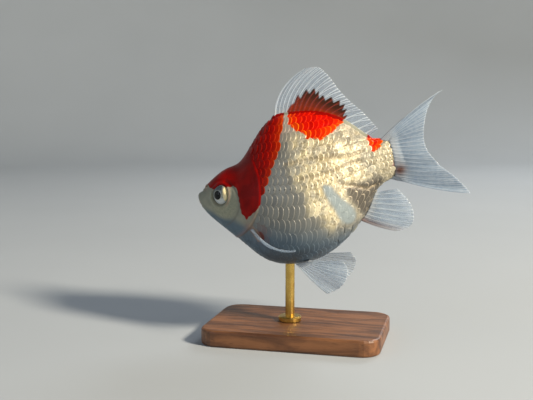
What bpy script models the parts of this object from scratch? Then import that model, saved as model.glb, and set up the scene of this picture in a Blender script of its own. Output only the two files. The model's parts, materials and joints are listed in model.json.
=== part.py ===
"""Red-and-white short-tailed ryukin goldfish, life size, held by a flat base and one rod.

The fish is drawn in its own frame, in millimetres: x runs from the snout to the tail,
y to the fish's right flank and z to its back.  One table of cross-sections gives the
body, thin gaps part it into its pieces, and each fin is a fan of rays from a root curve
to a tip curve.  An empty holds the whole fish and tips it nose down over the stand.
"""
import math

import bmesh
import bpy
import numpy as np

MM = 0.001
GAP = 0.3                  # clearance between neighbouring solids
PITCH = 11.7               # degrees that the fish swims nose down
FIN_THICKNESS = 0.6
FIN_LIFT = 0.4             # clearance of a fin's root off the back or belly line
TAIL_PART = 0.8            # half the parting between the tail's two halves at their root
STRAIGHT = (0.0, 0.0, 0.0)
AROUND = 36                # points round a cross-section

# Cross-sections from the snout to the end of the tail stalk.  Columns: place along the
# body, back, belly, half width, level of the widest point, pinch of the flanks above it
# and fullness of the flanks below it.
SECTIONS = np.array([
    (0.0, 0.0, 0.0, 0.0, -0.1, 0.00, 0.00),
    (1.6, 2.4, -5.5, 4.6, -1.2, 0.00, 0.00),
    (5.2, 4.8, -10.7, 7.4, -2.5, 0.00, 0.05),
    (10.2, 7.8, -16.2, 10.2, -3.4, 0.02, 0.08),
    (15.6, 10.0, -22.2, 12.6, -5.0, 0.10, 0.10),
    (21.2, 11.4, -28.6, 15.4, -7.5, 0.20, 0.12),
    (27.2, 16.8, -33.4, 18.2, -9.5, 0.32, 0.16),
    (33.8, 23.6, -35.7, 20.4, -10.8, 0.42, 0.20),
    (40.6, 27.6, -36.3, 21.6, -11.2, 0.46, 0.22),
    (47.4, 27.6, -35.5, 21.8, -10.8, 0.45, 0.22),
    (54.2, 26.8, -33.2, 20.6, -9.6, 0.40, 0.20),
    (61.0, 24.8, -29.3, 17.8, -7.4, 0.32, 0.16),
    (67.2, 21.4, -24.0, 13.6, -4.2, 0.24, 0.10),
    (72.4, 16.8, -18.8, 9.8, -1.2, 0.14, 0.04),
    (76.8, 12.4, -12.0, 7.2, 0.6, 0.08, 0.00),
    (80.8, 10.2, -8.8, 5.7, 1.2, 0.04, 0.00),
    (84.4, 9.4, -7.5, 4.7, 1.4, 0.02, 0.00),
    (87.2, 8.4, -6.3, 3.8, 1.5, 0.00, 0.00),
    (88.8, 6.0, -3.4, 2.8, 1.4, 0.00, 0.00),
    (89.3, 1.3, 1.3, 0.0, 1.3, 0.00, 0.00),
])
BLUNT = 0.12               # fraction of a section left off at each pole, closed by a flat

# The tail stalk bends gently to the fish's right, and the fins on it follow.
BEND_START = 62.0
BEND_LENGTH = 28.0
BEND_ANGLE = math.radians(11.0)

# Parting of the body.
MOUTH_CUT = 2.3            # x of the cut behind the lips
STALK_CUT = 72.2           # x of the cut in front of the tail stalk
HEAD_CENTRE = (12.0, 0.5)  # x, z of the round gill edge's centre
HEAD_RADIUS = 20.7
CHEEK_RADIUS = 10.8        # front edge of the gill cover, round the same centre
GILL_ANGLES = (28.0, -76.0)  # degrees from straight back, top and bottom of the cover
GILL_THICKNESS = 1.2
LIP_SLIT = (1.5, 2.7, 0.5)  # depth, half width and half height of the mouth's slit
LIP_LEVEL = -2.9

EYE_CENTRE = (14.1, 7.95, -0.9)   # x, distance from the midplane, z
EYE_RADIUS = 4.95

# Stand.
FLOOR = -62.0              # floor's height below the snout's own level line
SNOUT = (-3.5, -1.9)       # x, z of the snout's tip over that level line
BASE_SIZE = (76.0, 50.0, 7.0)
BASE_CORNER = 8.0
BASE_EASING = 1.0          # bevel on the base's edges
BASE_CENTRE = 41.0         # x of the base's centre, under the centre of mass
ROD_X = 37.5
ROD_RADIUS = 2.0
ROD_SUNK = 4.0             # depth of the rod in the base
ROD_BORE = 6.5             # depth of the rod in the belly
COLLAR_RADIUS = 5.0
COLLAR_HEIGHT = 2.0
ROD_EASING = 0.5           # bevel on the rod's end and its collar


def spline_bends(values):
    """Second differences of the natural cubic spline through rows at 0, 1, 2 and on."""
    count = len(values)
    system = np.zeros((count, count))
    system[0, 0] = system[-1, -1] = 1.0
    right = np.zeros_like(values)
    for i in range(1, count - 1):
        system[i, i - 1:i + 2] = (1.0, 4.0, 1.0)
        right[i] = 6.0 * (values[i - 1] - 2.0 * values[i] + values[i + 1])
    return np.linalg.solve(system, right)


def spline(values, at):
    """Natural cubic spline through the rows of values, read at the row numbers in at."""
    values = np.asarray(values, float)
    at = np.asarray(at, float)
    bends = spline_bends(values)
    low = np.clip(np.floor(at).astype(int), 0, len(values) - 2)
    t = (at - low)[..., None]
    straight = values[low] * (1.0 - t) + values[low + 1] * t
    curve = (2.0 - t) * bends[low] + (1.0 + t) * bends[low + 1]
    return straight - t * (1.0 - t) / 6.0 * curve


def section_at(place):
    """Section values at a place counted in rows of SECTIONS.

    The table is mirrored in front of the snout, with back and belly swapped, so that
    the profile runs round the nose without a point.
    """
    ahead = SECTIONS[:0:-1].copy()
    ahead[:, [1, 2]] = ahead[:, [2, 1]]
    ahead[:, 3] *= -1.0
    table = np.vstack([ahead, SECTIONS])
    return spline(table, np.asarray(place, float) + len(ahead))


def place_of(x):
    """Row place of the section at x millimetres from the snout."""
    places = np.linspace(0.0, len(SECTIONS) - 1.0, 1200)
    return np.interp(x, section_at(places)[:, 0], places)


def body_point(place, angle, inset=0.0):
    """Points of the body at a row place and an angle round it, 90 degrees at the back.

    Above the widest level the height is a sine of the angle and the width a cosine,
    pinched by the square of the sine; below it the width is filled out in the same way.
    """
    x, back, belly, half, level, pinch, full = np.moveaxis(section_at(place), -1, 0)
    up = np.sin(angle)
    height = np.where(up > 0.0, back - inset - level, level - belly - inset)
    shape = np.where(up > 0.0, 1.0 - pinch * up ** 2, 1.0 + full * up ** 2)
    y = -(half - inset) * np.cos(angle) * shape
    return np.stack([x + 0.0 * up, y, level + height * up], -1)


def flank(x, z):
    """Distance of the body's surface from the midplane at x, z."""
    row = section_at(place_of(x))
    _, back, belly, half, level, pinch, full = np.moveaxis(row, -1, 0)
    up = np.where(z > level, (z - level) / (back - level), (z - level) / (level - belly))
    up = np.clip(up, -1.0, 1.0)
    shape = np.where(up > 0.0, 1.0 - pinch * up ** 2, 1.0 + full * up ** 2)
    return half * np.sqrt(1.0 - up ** 2) * shape


def bent(points):
    """The points after the tail stalk's bend: an arc, then straight on along its end."""
    radius = BEND_LENGTH / BEND_ANGLE
    past = np.clip(points[..., 0] - BEND_START, 0.0, None)
    turn = np.minimum(past, BEND_LENGTH) / radius
    rest = np.maximum(past - BEND_LENGTH, 0.0)
    start = np.minimum(points[..., 0], BEND_START)
    y = points[..., 1]
    along = start + radius * np.sin(turn) + rest * np.cos(turn) - y * np.sin(turn)
    across = radius * (1.0 - np.cos(turn)) + rest * np.sin(turn) + y * np.cos(turn)
    return np.stack([along, across, points[..., 2]], -1)


def clear_scene():
    for item in list(bpy.data.objects):
        bpy.data.objects.remove(item, do_unlink=True)


def make_object(name, vertices, faces, parent, smooth=True):
    """New object from points in millimetres, in its parent's frame, faces turned out."""
    mesh = bpy.data.meshes.new(name)
    mesh.from_pydata((np.asarray(vertices, float) * MM).tolist(), [], faces)
    work = bmesh.new()
    work.from_mesh(mesh)
    bmesh.ops.recalc_face_normals(work, faces=work.faces)
    work.to_mesh(mesh)
    work.free()
    if smooth:
        mesh.shade_smooth()
        mesh.set_sharp_from_angle(angle=math.radians(40.0))
    item = bpy.data.objects.new(name, mesh)
    item.parent = parent
    bpy.context.scene.collection.objects.link(item)
    return item


def as_cutter(item):
    item.hide_render = True
    item.display_type = 'WIRE'
    return item


def boolean(item, other, operation):
    modifier = item.modifiers.new(operation.lower(), 'BOOLEAN')
    modifier.operation = operation
    modifier.object = other
    modifier.solver = 'EXACT'


def linear(channel):
    return channel / 12.92 if channel <= 0.04045 else ((channel + 0.055) / 1.055) ** 2.4


def finish(item, colour, roughness, metallic=0.0):
    """Gives the object its own Principled material from an sRGB hex colour."""
    channels = [int(colour[i:i + 2], 16) / 255.0 for i in (1, 3, 5)]
    material = bpy.data.materials.new(item.name)
    material.use_nodes = True
    shader = material.node_tree.nodes['Principled BSDF']
    shader.inputs['Base Color'].default_value = (*[linear(c) for c in channels], 1.0)
    shader.inputs['Roughness'].default_value = roughness
    shader.inputs['Metallic'].default_value = metallic
    item.data.materials.append(material)


def tube_faces(rings, around):
    """Quads between neighbouring rings, with the two end rings closed by flat caps."""
    faces = []
    for ring in range(rings - 1):
        for i in range(around):
            j = (i + 1) % around
            low, high = ring * around, (ring + 1) * around
            faces.append((low + i, low + j, high + j, high + i))
    faces.append(tuple(range(around)))
    faces.append(tuple(range((rings - 1) * around, rings * around)))
    return faces


def body_length(name, first, last, rings, parent, inset=0.0):
    """A closed length of the body between two row places, inset below the surface."""
    angles = np.arange(AROUND) * 2.0 * math.pi / AROUND
    places = np.linspace(first, last, rings)
    points = bent(body_point(places[:, None], angles[None, :], inset))
    return make_object(name, points.reshape(-1, 3), tube_faces(rings, AROUND), parent)


def prism(name, outline, near, far, parent):
    """A side-view outline, as x, z points, carried across from y near to y far."""
    count = len(outline)
    points = [(x, near, z) for x, z in outline] + [(x, far, z) for x, z in outline]
    return as_cutter(make_object(name, points, tube_faces(2, count), parent, False))


def circle(centre, radius, count):
    angles = np.arange(count) * 2.0 * math.pi / count
    return [(centre[0] + radius * math.cos(a), centre[1] + radius * math.sin(a))
            for a in angles]


def ring_sector(inner, outer, widen):
    """Outline of the gill cover's part of a ring round the head's centre."""
    top, bottom = math.radians(GILL_ANGLES[0]), math.radians(GILL_ANGLES[1])
    outer_arc = np.linspace(top + widen / outer, bottom - widen / outer, 21)
    inner_arc = np.linspace(bottom - widen / inner, top + widen / inner, 13)
    arcs = [(outer, a) for a in outer_arc] + [(inner, a) for a in inner_arc]
    x, z = HEAD_CENTRE
    return [(x + radius * math.cos(a), z + radius * math.sin(a)) for radius, a in arcs]


def sphere(name, centre, radius, parent, segments=18, rings=11):
    mesh = bpy.data.meshes.new(name)
    work = bmesh.new()
    bmesh.ops.create_uvsphere(work, u_segments=segments, v_segments=rings,
                              radius=radius * MM)
    work.to_mesh(mesh)
    work.free()
    mesh.shade_smooth()
    item = bpy.data.objects.new(name, mesh)
    item.parent = parent
    item.location = [c * MM for c in centre]
    bpy.context.scene.collection.objects.link(item)
    return item


def make_front_zones(parent):
    """Cutters that part the front of the body into mouth, head, gill covers and trunk."""
    reach = 60.0
    zones = {}
    inner, outer = HEAD_RADIUS - GAP / 2.0, HEAD_RADIUS + GAP / 2.0
    zones['head'] = prism('zone_head', circle(HEAD_CENTRE, inner, 72), -reach, reach, parent)
    zones['gills'] = prism('zone_gills', circle(HEAD_CENTRE, outer, 72), -reach, reach,
                           parent)
    for key, x in (('lips', MOUTH_CUT - GAP / 2.0), ('behind', MOUTH_CUT + GAP / 2.0)):
        box = [(-reach, -reach), (x, -reach), (x, reach), (-reach, reach)]
        zones[key] = prism('zone_' + key, box, -reach, reach, parent)
    for side, way in (('left', -1.0), ('right', 1.0)):
        cover = ring_sector(CHEEK_RADIUS, inner, 0.0)
        recess = ring_sector(CHEEK_RADIUS - GAP, HEAD_RADIUS + 2.0, GAP)
        zones['cover_' + side] = prism('zone_cover_' + side, cover, way, way * reach, parent)
        zones['recess_' + side] = prism('zone_recess_' + side, recess, way, way * reach,
                                        parent)
    return zones


def make_body(parent):
    """Mouth, head, gill covers, trunk and tail stalk, all from the one body surface."""
    last = place_of(STALK_CUT - GAP / 2.0)
    rings = 29
    zones = make_front_zones(parent)
    core = as_cutter(body_length('zone_core', BLUNT, last, rings, parent, GILL_THICKNESS))
    floor_of_recess = as_cutter(body_length('zone_recess_floor', BLUNT, last, rings,
                                            parent, GILL_THICKNESS + GAP))

    mouth = body_length('mouth', BLUNT, last, rings, parent)
    boolean(mouth, zones['lips'], 'INTERSECT')
    boolean(mouth, make_lip_slit(parent), 'DIFFERENCE')
    finish(mouth, '#D9D2C6', 0.35)

    head = body_length('head', BLUNT, last, rings, parent)
    boolean(head, zones['head'], 'INTERSECT')
    boolean(head, zones['behind'], 'DIFFERENCE')
    for side, way in (('left', -1.0), ('right', 1.0)):
        x, y, z = EYE_CENTRE
        socket = sphere('zone_socket_' + side, (x, way * y, z), EYE_RADIUS + GAP, parent)
        boolean(head, as_cutter(socket), 'DIFFERENCE')
        recess = zones['recess_' + side]
        boolean(recess, floor_of_recess, 'DIFFERENCE')
        boolean(head, recess, 'DIFFERENCE')
        cover = body_length('gill_cover_' + side, BLUNT, last, rings, parent)
        boolean(cover, zones['cover_' + side], 'INTERSECT')
        boolean(cover, core, 'DIFFERENCE')
        finish(cover, '#C8300F', 0.35)
    finish(head, '#C8280C', 0.35)

    trunk = body_length('trunk', BLUNT, last, rings, parent)
    boolean(trunk, zones['gills'], 'DIFFERENCE')
    finish(trunk, '#E4E1D8', 0.3)

    first = place_of(STALK_CUT + GAP / 2.0)
    end = len(SECTIONS) - 1.0 - BLUNT
    stalk = body_length('tail_stalk', first, end, 10, parent)
    finish(stalk, '#E4DCCB', 0.3)
    return trunk


def make_lip_slit(parent):
    """A flat round lens across the snout's tip that leaves the mouth just open."""
    slit = sphere('zone_slit', (0.3, 0.0, LIP_LEVEL), 1.0, parent)
    slit.scale = LIP_SLIT
    return as_cutter(slit)


def make_eyes(parent):
    for side, way in (('left', -1.0), ('right', 1.0)):
        x, y, z = EYE_CENTRE
        eye = sphere('eye_' + side, (x, way * y, z), EYE_RADIUS, parent)
        eye.rotation_euler = (math.radians(90.0), 0.0, 0.0)
        finish(eye, '#20201E', 0.05)


def fan(root, tip, first_bow, last_bow, rays, steps):
    """Grid of a fin: straight rays from the root curve to the tip curve, then bowed.

    root and tip are rows of x, y, z read as splines at equal shares of their length in
    rows.  A ray's middle moves by a quarter of its bow, which runs evenly from the first
    ray's to the last ray's.
    """
    share = np.linspace(0.0, 1.0, rays)
    start = spline(root, share * (len(root) - 1))[:, None, :]
    end = spline(tip, share * (len(tip) - 1))[:, None, :]
    out = np.linspace(0.0, 1.0, steps)[None, :, None]
    fade = share[:, None, None]
    bow = np.array(first_bow) * (1.0 - fade) + np.array(last_bow) * fade
    return start + (end - start) * out + bow * out * (1.0 - out)


def make_fin(name, grid, parent, colour='#DDE2E6'):
    """A sheet over the grid of rays, thickened evenly to both sides."""
    rays, steps = grid.shape[:2]
    faces = []
    for ray in range(rays - 1):
        for step in range(steps - 1):
            corner = ray * steps + step
            faces.append((corner, corner + 1, corner + steps + 1, corner + steps))
    item = make_object(name, bent(grid).reshape(-1, 3), faces, parent)
    solid = item.modifiers.new('thickness', 'SOLIDIFY')
    solid.thickness = FIN_THICKNESS * MM
    solid.offset = 0.0
    finish(item, colour, 0.25)
    return item


def mirrored(grid):
    return grid * np.array([1.0, -1.0, 1.0])


def edge_line(x, aside, lift):
    """Points aside from the midplane and lift over the back, or under the belly."""
    row = section_at(place_of(x))
    z = row[..., 1] + lift if lift > 0.0 else row[..., 2] + lift
    return np.stack([x, 0.0 * x + aside, z], -1)


def on_flank(x, z, lift):
    """A point beside the left flank at x, z, lifted off it."""
    return (x, -float(flank(x, z)) - lift, z)


def make_dorsal_fin(parent):
    root = edge_line(np.linspace(40.2, 78.0, 9), 0.0, FIN_LIFT)
    tip = [(57.0, 0.0, 44.6), (61.2, 0.3, 44.4), (64.9, 0.6, 42.1), (67.9, 0.8, 36.6),
           (70.9, 0.6, 30.8), (74.5, 0.2, 25.8), (77.8, -0.2, 21.6), (80.6, -0.4, 17.0),
           (82.5, -0.3, 13.7)]
    make_fin('dorsal_fin', fan(root, tip, (-11.6, 0.0, 7.6), STRAIGHT, 17, 7), parent)


def make_tail_fins(parent):
    over = edge_line(np.array([82.8, 85.4, 87.6]), -TAIL_PART, FIN_LIFT)
    under = edge_line(np.array([87.6, 84.4]), -TAIL_PART, -FIN_LIFT)
    behind = [(89.7, -1.9, 4.5), (89.75, -1.9, -0.6)]
    root = np.vstack([over, behind, under])
    tip = [(110.9, -3.6, 24.5), (105.6, -4.4, 20.7), (102.3, -5.2, 15.9),
           (100.3, -6.0, 10.7), (99.3, -6.8, 5.4), (100.2, -7.6, 0.4),
           (103.0, -8.6, -4.8), (106.9, -9.6, -9.4), (110.6, -10.6, -14.4),
           (113.0, -11.4, -18.7)]
    left = fan(root, tip, (0.0, -2.0, 3.6), (0.0, -2.0, -5.6), 18, 7)
    make_fin('tail_fin_left', left, parent)
    make_fin('tail_fin_right', mirrored(left), parent)


def make_anal_fins(parent):
    root = edge_line(np.linspace(68.6, 76.6, 5), -1.3, -FIN_LIFT)
    tip = [(82.0, -3.4, -29.2), (87.6, -4.0, -28.2), (90.0, -4.2, -23.8),
           (89.0, -4.0, -17.8), (85.6, -3.4, -12.4)]
    left = fan(root, tip, (1.0, 0.0, -2.6), STRAIGHT, 9, 6)
    make_fin('anal_fin_left', left, parent)
    make_fin('anal_fin_right', mirrored(left), parent)


def make_pectoral_fins(parent):
    root = [on_flank(25.4, -16.4, 2.0 * GAP), on_flank(26.6, -18.4, 2.0 * GAP),
            on_flank(27.6, -20.6, 2.0 * GAP)]
    tip = [(44.8, -27.0, -27.0), (43.6, -24.6, -27.6), (41.0, -22.6, -27.4),
           (37.6, -20.8, -26.4)]
    left = fan(root, tip, (-2.0, -5.0, -12.0), (-2.0, -2.0, -6.0), 9, 7)
    make_fin('pectoral_fin_left', left, parent)
    make_fin('pectoral_fin_right', mirrored(left), parent)


def make_pelvic_fins(parent):
    root = [on_flank(39.0, -35.2, 2.0 * GAP), on_flank(42.0, -35.0, 2.0 * GAP),
            on_flank(45.0, -34.4, 2.0 * GAP)]
    tip = [(50.5, -11.6, -49.0), (55.6, -12.6, -47.6), (59.6, -12.8, -44.2),
           (61.0, -12.2, -40.4), (59.6, -11.0, -36.8)]
    left = fan(root, tip, (-1.0, -1.0, -2.0), STRAIGHT, 10, 6)
    make_fin('pelvic_fin_left', left, parent)
    make_fin('pelvic_fin_right', mirrored(left), parent)


def turned(name, profile, count, parent):
    """Solid of revolution about z from radius, height pairs, closed flat at both ends."""
    angles = np.arange(count) * 2.0 * math.pi / count
    points = [(r * math.cos(a), r * math.sin(a), z) for r, z in profile for a in angles]
    return make_object(name, points, tube_faces(len(profile), count), parent)


def make_stand(fish, trunk):
    """Flat base with rounded corners, and a collared rod up into a bore in the belly."""
    length, width, height = BASE_SIZE
    corner = BASE_CORNER
    outline = []
    for cx, cy, start in ((1, 1, 0), (-1, 1, 90), (-1, -1, 180), (1, -1, 270)):
        for step in range(7):
            a = math.radians(start + step * 15.0)
            outline.append((cx * (length / 2.0 - corner) + corner * math.cos(a),
                            cy * (width / 2.0 - corner) + corner * math.sin(a)))
    points = [(x, y, z) for z in (0.0, height) for x, y in outline]
    base = make_object('stand_base', points, tube_faces(2, len(outline)), None, False)
    base.location = (BASE_CENTRE * MM, 0.0, FLOOR * MM)
    bevel = base.modifiers.new('eased_edges', 'BEVEL')
    bevel.width = BASE_EASING * MM
    bevel.segments = 2
    bevel.limit_method = 'ANGLE'
    bevel.angle_limit = math.radians(60.0)
    finish(base, '#4A2E1E', 0.45)

    floor_of_socket = FLOOR + height - ROD_SUNK
    top = rod_top(fish)
    seat = FLOOR + height + GAP
    profile = [(ROD_RADIUS, floor_of_socket + GAP), (ROD_RADIUS, seat),
               (COLLAR_RADIUS, seat), (COLLAR_RADIUS, seat + COLLAR_HEIGHT - ROD_EASING),
               (COLLAR_RADIUS - ROD_EASING, seat + COLLAR_HEIGHT),
               (ROD_RADIUS, seat + COLLAR_HEIGHT), (ROD_RADIUS, top - ROD_EASING),
               (ROD_RADIUS - ROD_EASING, top)]
    rod = turned('stand_rod', profile, 24, None)
    rod.location = (ROD_X * MM, 0.0, 0.0)
    finish(rod, '#C9A45C', 0.25, 1.0)

    overrun = 12.0
    hole = [(ROD_RADIUS + GAP, floor_of_socket), (ROD_RADIUS + GAP, seat + overrun)]
    bore = [(ROD_RADIUS + GAP, top - ROD_BORE - overrun), (ROD_RADIUS + GAP, top + GAP)]
    for name, cut, target in (('zone_hole', hole, base), ('zone_bore', bore, trunk)):
        cutter = as_cutter(turned(name, cut, 24, None))
        cutter.location = (ROD_X * MM, 0.0, 0.0)
        boolean(target, cutter, 'DIFFERENCE')


def rod_top(fish):
    """Height of the rod's upper end, a set depth above the belly's underside."""
    x = np.linspace(30.0, 50.0, 81)
    belly = section_at(place_of(x))[:, 2]
    pitch = math.radians(PITCH)
    across = SNOUT[0] + x * math.cos(pitch) - belly * math.sin(pitch)
    up = SNOUT[1] + x * math.sin(pitch) + belly * math.cos(pitch)
    return float(np.interp(ROD_X, across, up)) + ROD_BORE


def centre_over_origin():
    """Moves everything so that the whole model's box stands centred on the origin."""
    bpy.context.view_layer.update()
    depsgraph = bpy.context.evaluated_depsgraph_get()
    corners = []
    for item in bpy.data.objects:
        if item.type == 'MESH' and not item.hide_render:
            shown = item.evaluated_get(depsgraph)
            coordinates = np.empty(len(shown.data.vertices) * 3)
            shown.data.vertices.foreach_get('co', coordinates)
            points = coordinates.reshape(-1, 3)
            matrix = np.array(shown.matrix_world)
            corners.append(points @ matrix[:3, :3].T + matrix[:3, 3])
    points = np.vstack(corners)
    middle = (points.min(0) + points.max(0)) / 2.0
    for item in bpy.data.objects:
        if item.parent is None:
            item.location.x -= middle[0]
            item.location.y -= middle[1]
            item.location.z -= points[:, 2].min()


def main():
    clear_scene()
    fish = bpy.data.objects.new('fish_axes', None)
    fish.location = (SNOUT[0] * MM, 0.0, SNOUT[1] * MM)
    fish.rotation_euler = (0.0, -math.radians(PITCH), 0.0)
    bpy.context.scene.collection.objects.link(fish)
    trunk = make_body(fish)
    make_eyes(fish)
    make_dorsal_fin(fish)
    make_tail_fins(fish)
    make_anal_fins(fish)
    make_pectoral_fins(fish)
    make_pelvic_fins(fish)
    make_stand(fish, trunk)
    centre_over_origin()


main()
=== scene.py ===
import json
import math

import bpy
import numpy as np
from mathutils import Matrix, Vector

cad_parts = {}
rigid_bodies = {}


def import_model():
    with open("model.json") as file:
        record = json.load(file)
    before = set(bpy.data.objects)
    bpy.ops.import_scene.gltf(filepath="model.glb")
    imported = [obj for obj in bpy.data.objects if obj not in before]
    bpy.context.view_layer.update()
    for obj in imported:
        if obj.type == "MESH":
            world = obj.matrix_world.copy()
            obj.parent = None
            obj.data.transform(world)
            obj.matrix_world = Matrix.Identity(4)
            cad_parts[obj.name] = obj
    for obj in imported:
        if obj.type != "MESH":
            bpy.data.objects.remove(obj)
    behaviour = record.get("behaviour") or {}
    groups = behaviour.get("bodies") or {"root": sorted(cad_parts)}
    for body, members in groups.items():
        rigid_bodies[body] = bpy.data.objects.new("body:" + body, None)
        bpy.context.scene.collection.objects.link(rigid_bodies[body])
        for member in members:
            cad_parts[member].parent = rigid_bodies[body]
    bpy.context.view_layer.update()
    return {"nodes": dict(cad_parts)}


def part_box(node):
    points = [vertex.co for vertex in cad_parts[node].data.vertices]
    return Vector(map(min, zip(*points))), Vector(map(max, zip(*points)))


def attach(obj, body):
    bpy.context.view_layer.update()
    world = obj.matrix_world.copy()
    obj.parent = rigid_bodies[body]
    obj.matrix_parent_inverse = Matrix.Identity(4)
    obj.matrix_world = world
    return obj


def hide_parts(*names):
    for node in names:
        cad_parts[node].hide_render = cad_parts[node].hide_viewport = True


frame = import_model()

# Red-and-white short-tailed ryukin goldfish on a walnut and brass display stand.
# Shapes are worked out in the fish's own frame, in millimetres: x from the snout to the
# tail, y to its right flank, z to its back.  placed() bends the tail, tips the fish nose
# down and sets it over the stand, in metres.

MM = 0.001
rng = np.random.default_rng(7)

PITCH = math.radians(11.7)
SNOUT = (-3.5, -1.9)           # x, z of the tip of the snout
FLOOR = -62.0                  # z of the floor, from the same origin
ROD_X = 37.5                   # x of the rod
BEND_START, BEND_LENGTH, BEND_ANGLE = 62.0, 28.0, math.radians(11.0)

# Columns: place along the body, back, belly, half width, level of the widest point,
# pinch of the flanks above it and fullness of the flanks below it.
SECTIONS = np.array([
    (0.0, 0.0, 0.0, 0.0, -0.1, 0.0, 0.0),
    (1.6, 2.4, -5.5, 4.6, -1.2, 0.0, 0.0),
    (5.2, 4.8, -10.7, 7.4, -2.5, 0.0, 0.05),
    (10.2, 7.8, -16.2, 10.2, -3.4, 0.02, 0.08),
    (15.6, 10.0, -22.2, 12.6, -5.0, 0.10, 0.10),
    (21.2, 11.4, -28.6, 15.4, -7.5, 0.20, 0.12),
    (27.2, 16.8, -33.4, 18.2, -9.5, 0.32, 0.16),
    (33.8, 23.6, -35.7, 20.4, -10.8, 0.42, 0.20),
    (40.6, 27.6, -36.3, 21.6, -11.2, 0.46, 0.22),
    (47.4, 27.6, -35.5, 21.8, -10.8, 0.45, 0.22),
    (54.2, 26.8, -33.2, 20.6, -9.6, 0.40, 0.20),
    (61.0, 24.8, -29.3, 17.8, -7.4, 0.32, 0.16),
    (67.2, 21.4, -24.0, 13.6, -4.2, 0.24, 0.10),
    (72.4, 16.8, -18.8, 9.8, -1.2, 0.14, 0.04),
    (76.8, 12.4, -12.0, 7.2, 0.6, 0.08, 0.0),
    (80.8, 10.2, -8.8, 5.7, 1.2, 0.04, 0.0),
    (84.4, 9.4, -7.5, 4.7, 1.4, 0.02, 0.0),
    (87.2, 8.4, -6.3, 3.8, 1.5, 0.0, 0.0),
    (88.8, 6.0, -3.4, 2.8, 1.4, 0.0, 0.0),
    (89.3, 1.3, 1.3, 0.0, 1.3, 0.0, 0.0)])
LAST = len(SECTIONS) - 1.0

HEAD_CENTRE = (12.0, 0.5)      # x, z of the centre of the round gill edge
GILL_RADIUS = 20.7
CHEEK_RADIUS = 10.8
EYE_CENTRE = np.array([14.1, -7.95, -0.9])
EYE_RADIUS = 4.95
LIP_LEVEL = -2.9
NOSTRIL = np.array([5.3, 4.0, 3.8])
PECTORAL_BASE = np.array([(25.0, -15.8), (26.6, -18.6), (27.4, -21.0)])
COAT = 0.5                     # depth of the scales over the skin


# ---- curves and surfaces

def smooth(value, low, high):
    """Smoothstep: 0 below low, 1 above high, 3t^2 - 2t^3 between."""
    t = np.clip((value - low) / (high - low), 0.0, 1.0)
    return t * t * (3.0 - 2.0 * t)


def bump(distance, width):
    """Bell curve of the distance, e to the minus square."""
    return np.exp(-(distance / width) ** 2)


def spline(values, at):
    """Natural cubic spline through the rows of values, read at the row numbers in at."""
    values, at = np.asarray(values, float), np.asarray(at, float)
    count = len(values)
    system = np.eye(count)
    inner = np.arange(1, count - 1)
    system[inner, inner - 1], system[inner, inner], system[inner, inner + 1] = 1, 4, 1
    right = np.zeros_like(values)
    right[1:-1] = 6.0 * (values[:-2] - 2.0 * values[1:-1] + values[2:])
    bends = np.linalg.solve(system, right)
    low = np.clip(np.floor(at).astype(int), 0, count - 2)
    t = (at - low).reshape(at.shape + (1,) * (values.ndim - 1))
    curve = (2.0 - t) * bends[low] + (1.0 + t) * bends[low + 1]
    return values[low] * (1.0 - t) + values[low + 1] * t - t * (1.0 - t) / 6.0 * curve


def section_at(place):
    """Section values at a place in rows; the table is mirrored ahead of the snout."""
    ahead = SECTIONS[:0:-1].copy()
    ahead[:, [1, 2]] = ahead[:, [2, 1]]
    ahead[:, 3] *= -1.0
    return spline(np.vstack([ahead, SECTIONS]), np.asarray(place, float) + len(ahead))


SAMPLED = section_at(np.linspace(0.0, LAST, 2000))


def section_of(x):
    """Section values at x, read off the finely sampled table."""
    return np.stack([np.interp(x, SAMPLED[:, 0], column) for column in SAMPLED.T], -1)


def fullness(section, up):
    """Factor of the width: pinched above the widest level, filled out below, by up squared."""
    return np.where(up > 0.0, 1.0 - section[..., 5] * up ** 2, 1.0 + section[..., 6] * up ** 2)


def rise(section, z):
    """Sine of the angle round the section at height z."""
    back, belly, level = section[..., 1], section[..., 2], section[..., 4]
    return np.clip((z - level) / np.where(z > level, back - level, level - belly), -1.0, 1.0)


def body_at(section, angle):
    """Body surface: height a sine and width a cosine of the angle round the section.

    90 degrees is the back; y < 0 at 0 degrees.
    """
    back, belly, level = section[..., 1], section[..., 2], section[..., 4]
    up = np.sin(angle)
    height = np.where(up > 0.0, back - level, level - belly)
    y = -section[..., 3] * np.cos(angle) * fullness(section, up)
    return np.stack(np.broadcast_arrays(section[..., 0], y, level + height * up), -1)


def flank(x, z):
    """Distance of the body's surface from the midplane at x, z."""
    section = section_of(x)
    up = rise(section, z)
    return section[..., 3] * np.sqrt(1.0 - up ** 2) * fullness(section, up)


def unit(vectors):
    return vectors / np.maximum(np.linalg.norm(vectors, axis=-1, keepdims=True), 1e-9)


EYE_AXIS = unit(np.array([-math.sin(math.radians(21.0)), -math.cos(math.radians(21.0)), 0.03]))
LOOK = unit(np.array([-math.sin(math.radians(26.0)), -math.cos(math.radians(26.0)), 0.13]))


def normals(points, wrap=False):
    """Unit normals of a grid of points: the cross product of its two central differences."""
    along = np.gradient(points, axis=0)
    if wrap:
        around = np.roll(points, -1, axis=1) - np.roll(points, 1, axis=1)
    else:
        around = np.gradient(points, axis=1)
    return unit(np.cross(along, around))


rod_low, rod_high = (np.array(corner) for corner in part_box("stand_rod"))
SHIFT = (rod_low[0] + rod_high[0]) / 2.0 - ROD_X * MM


def bent(points):
    """The tail stalk's bend: an arc from BEND_START, then straight on along its end."""
    x, y, z = np.moveaxis(points, -1, 0)
    radius = BEND_LENGTH / BEND_ANGLE
    past = np.clip(x - BEND_START, 0.0, None)
    turn = np.minimum(past, BEND_LENGTH) / radius
    rest = np.maximum(past - BEND_LENGTH, 0.0)
    sine, cosine = np.sin(turn), np.cos(turn)
    along = np.minimum(x, BEND_START) + radius * sine + rest * cosine - y * sine
    return np.stack([along, radius * (1.0 - cosine) + rest * sine + y * cosine, z], -1)


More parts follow.
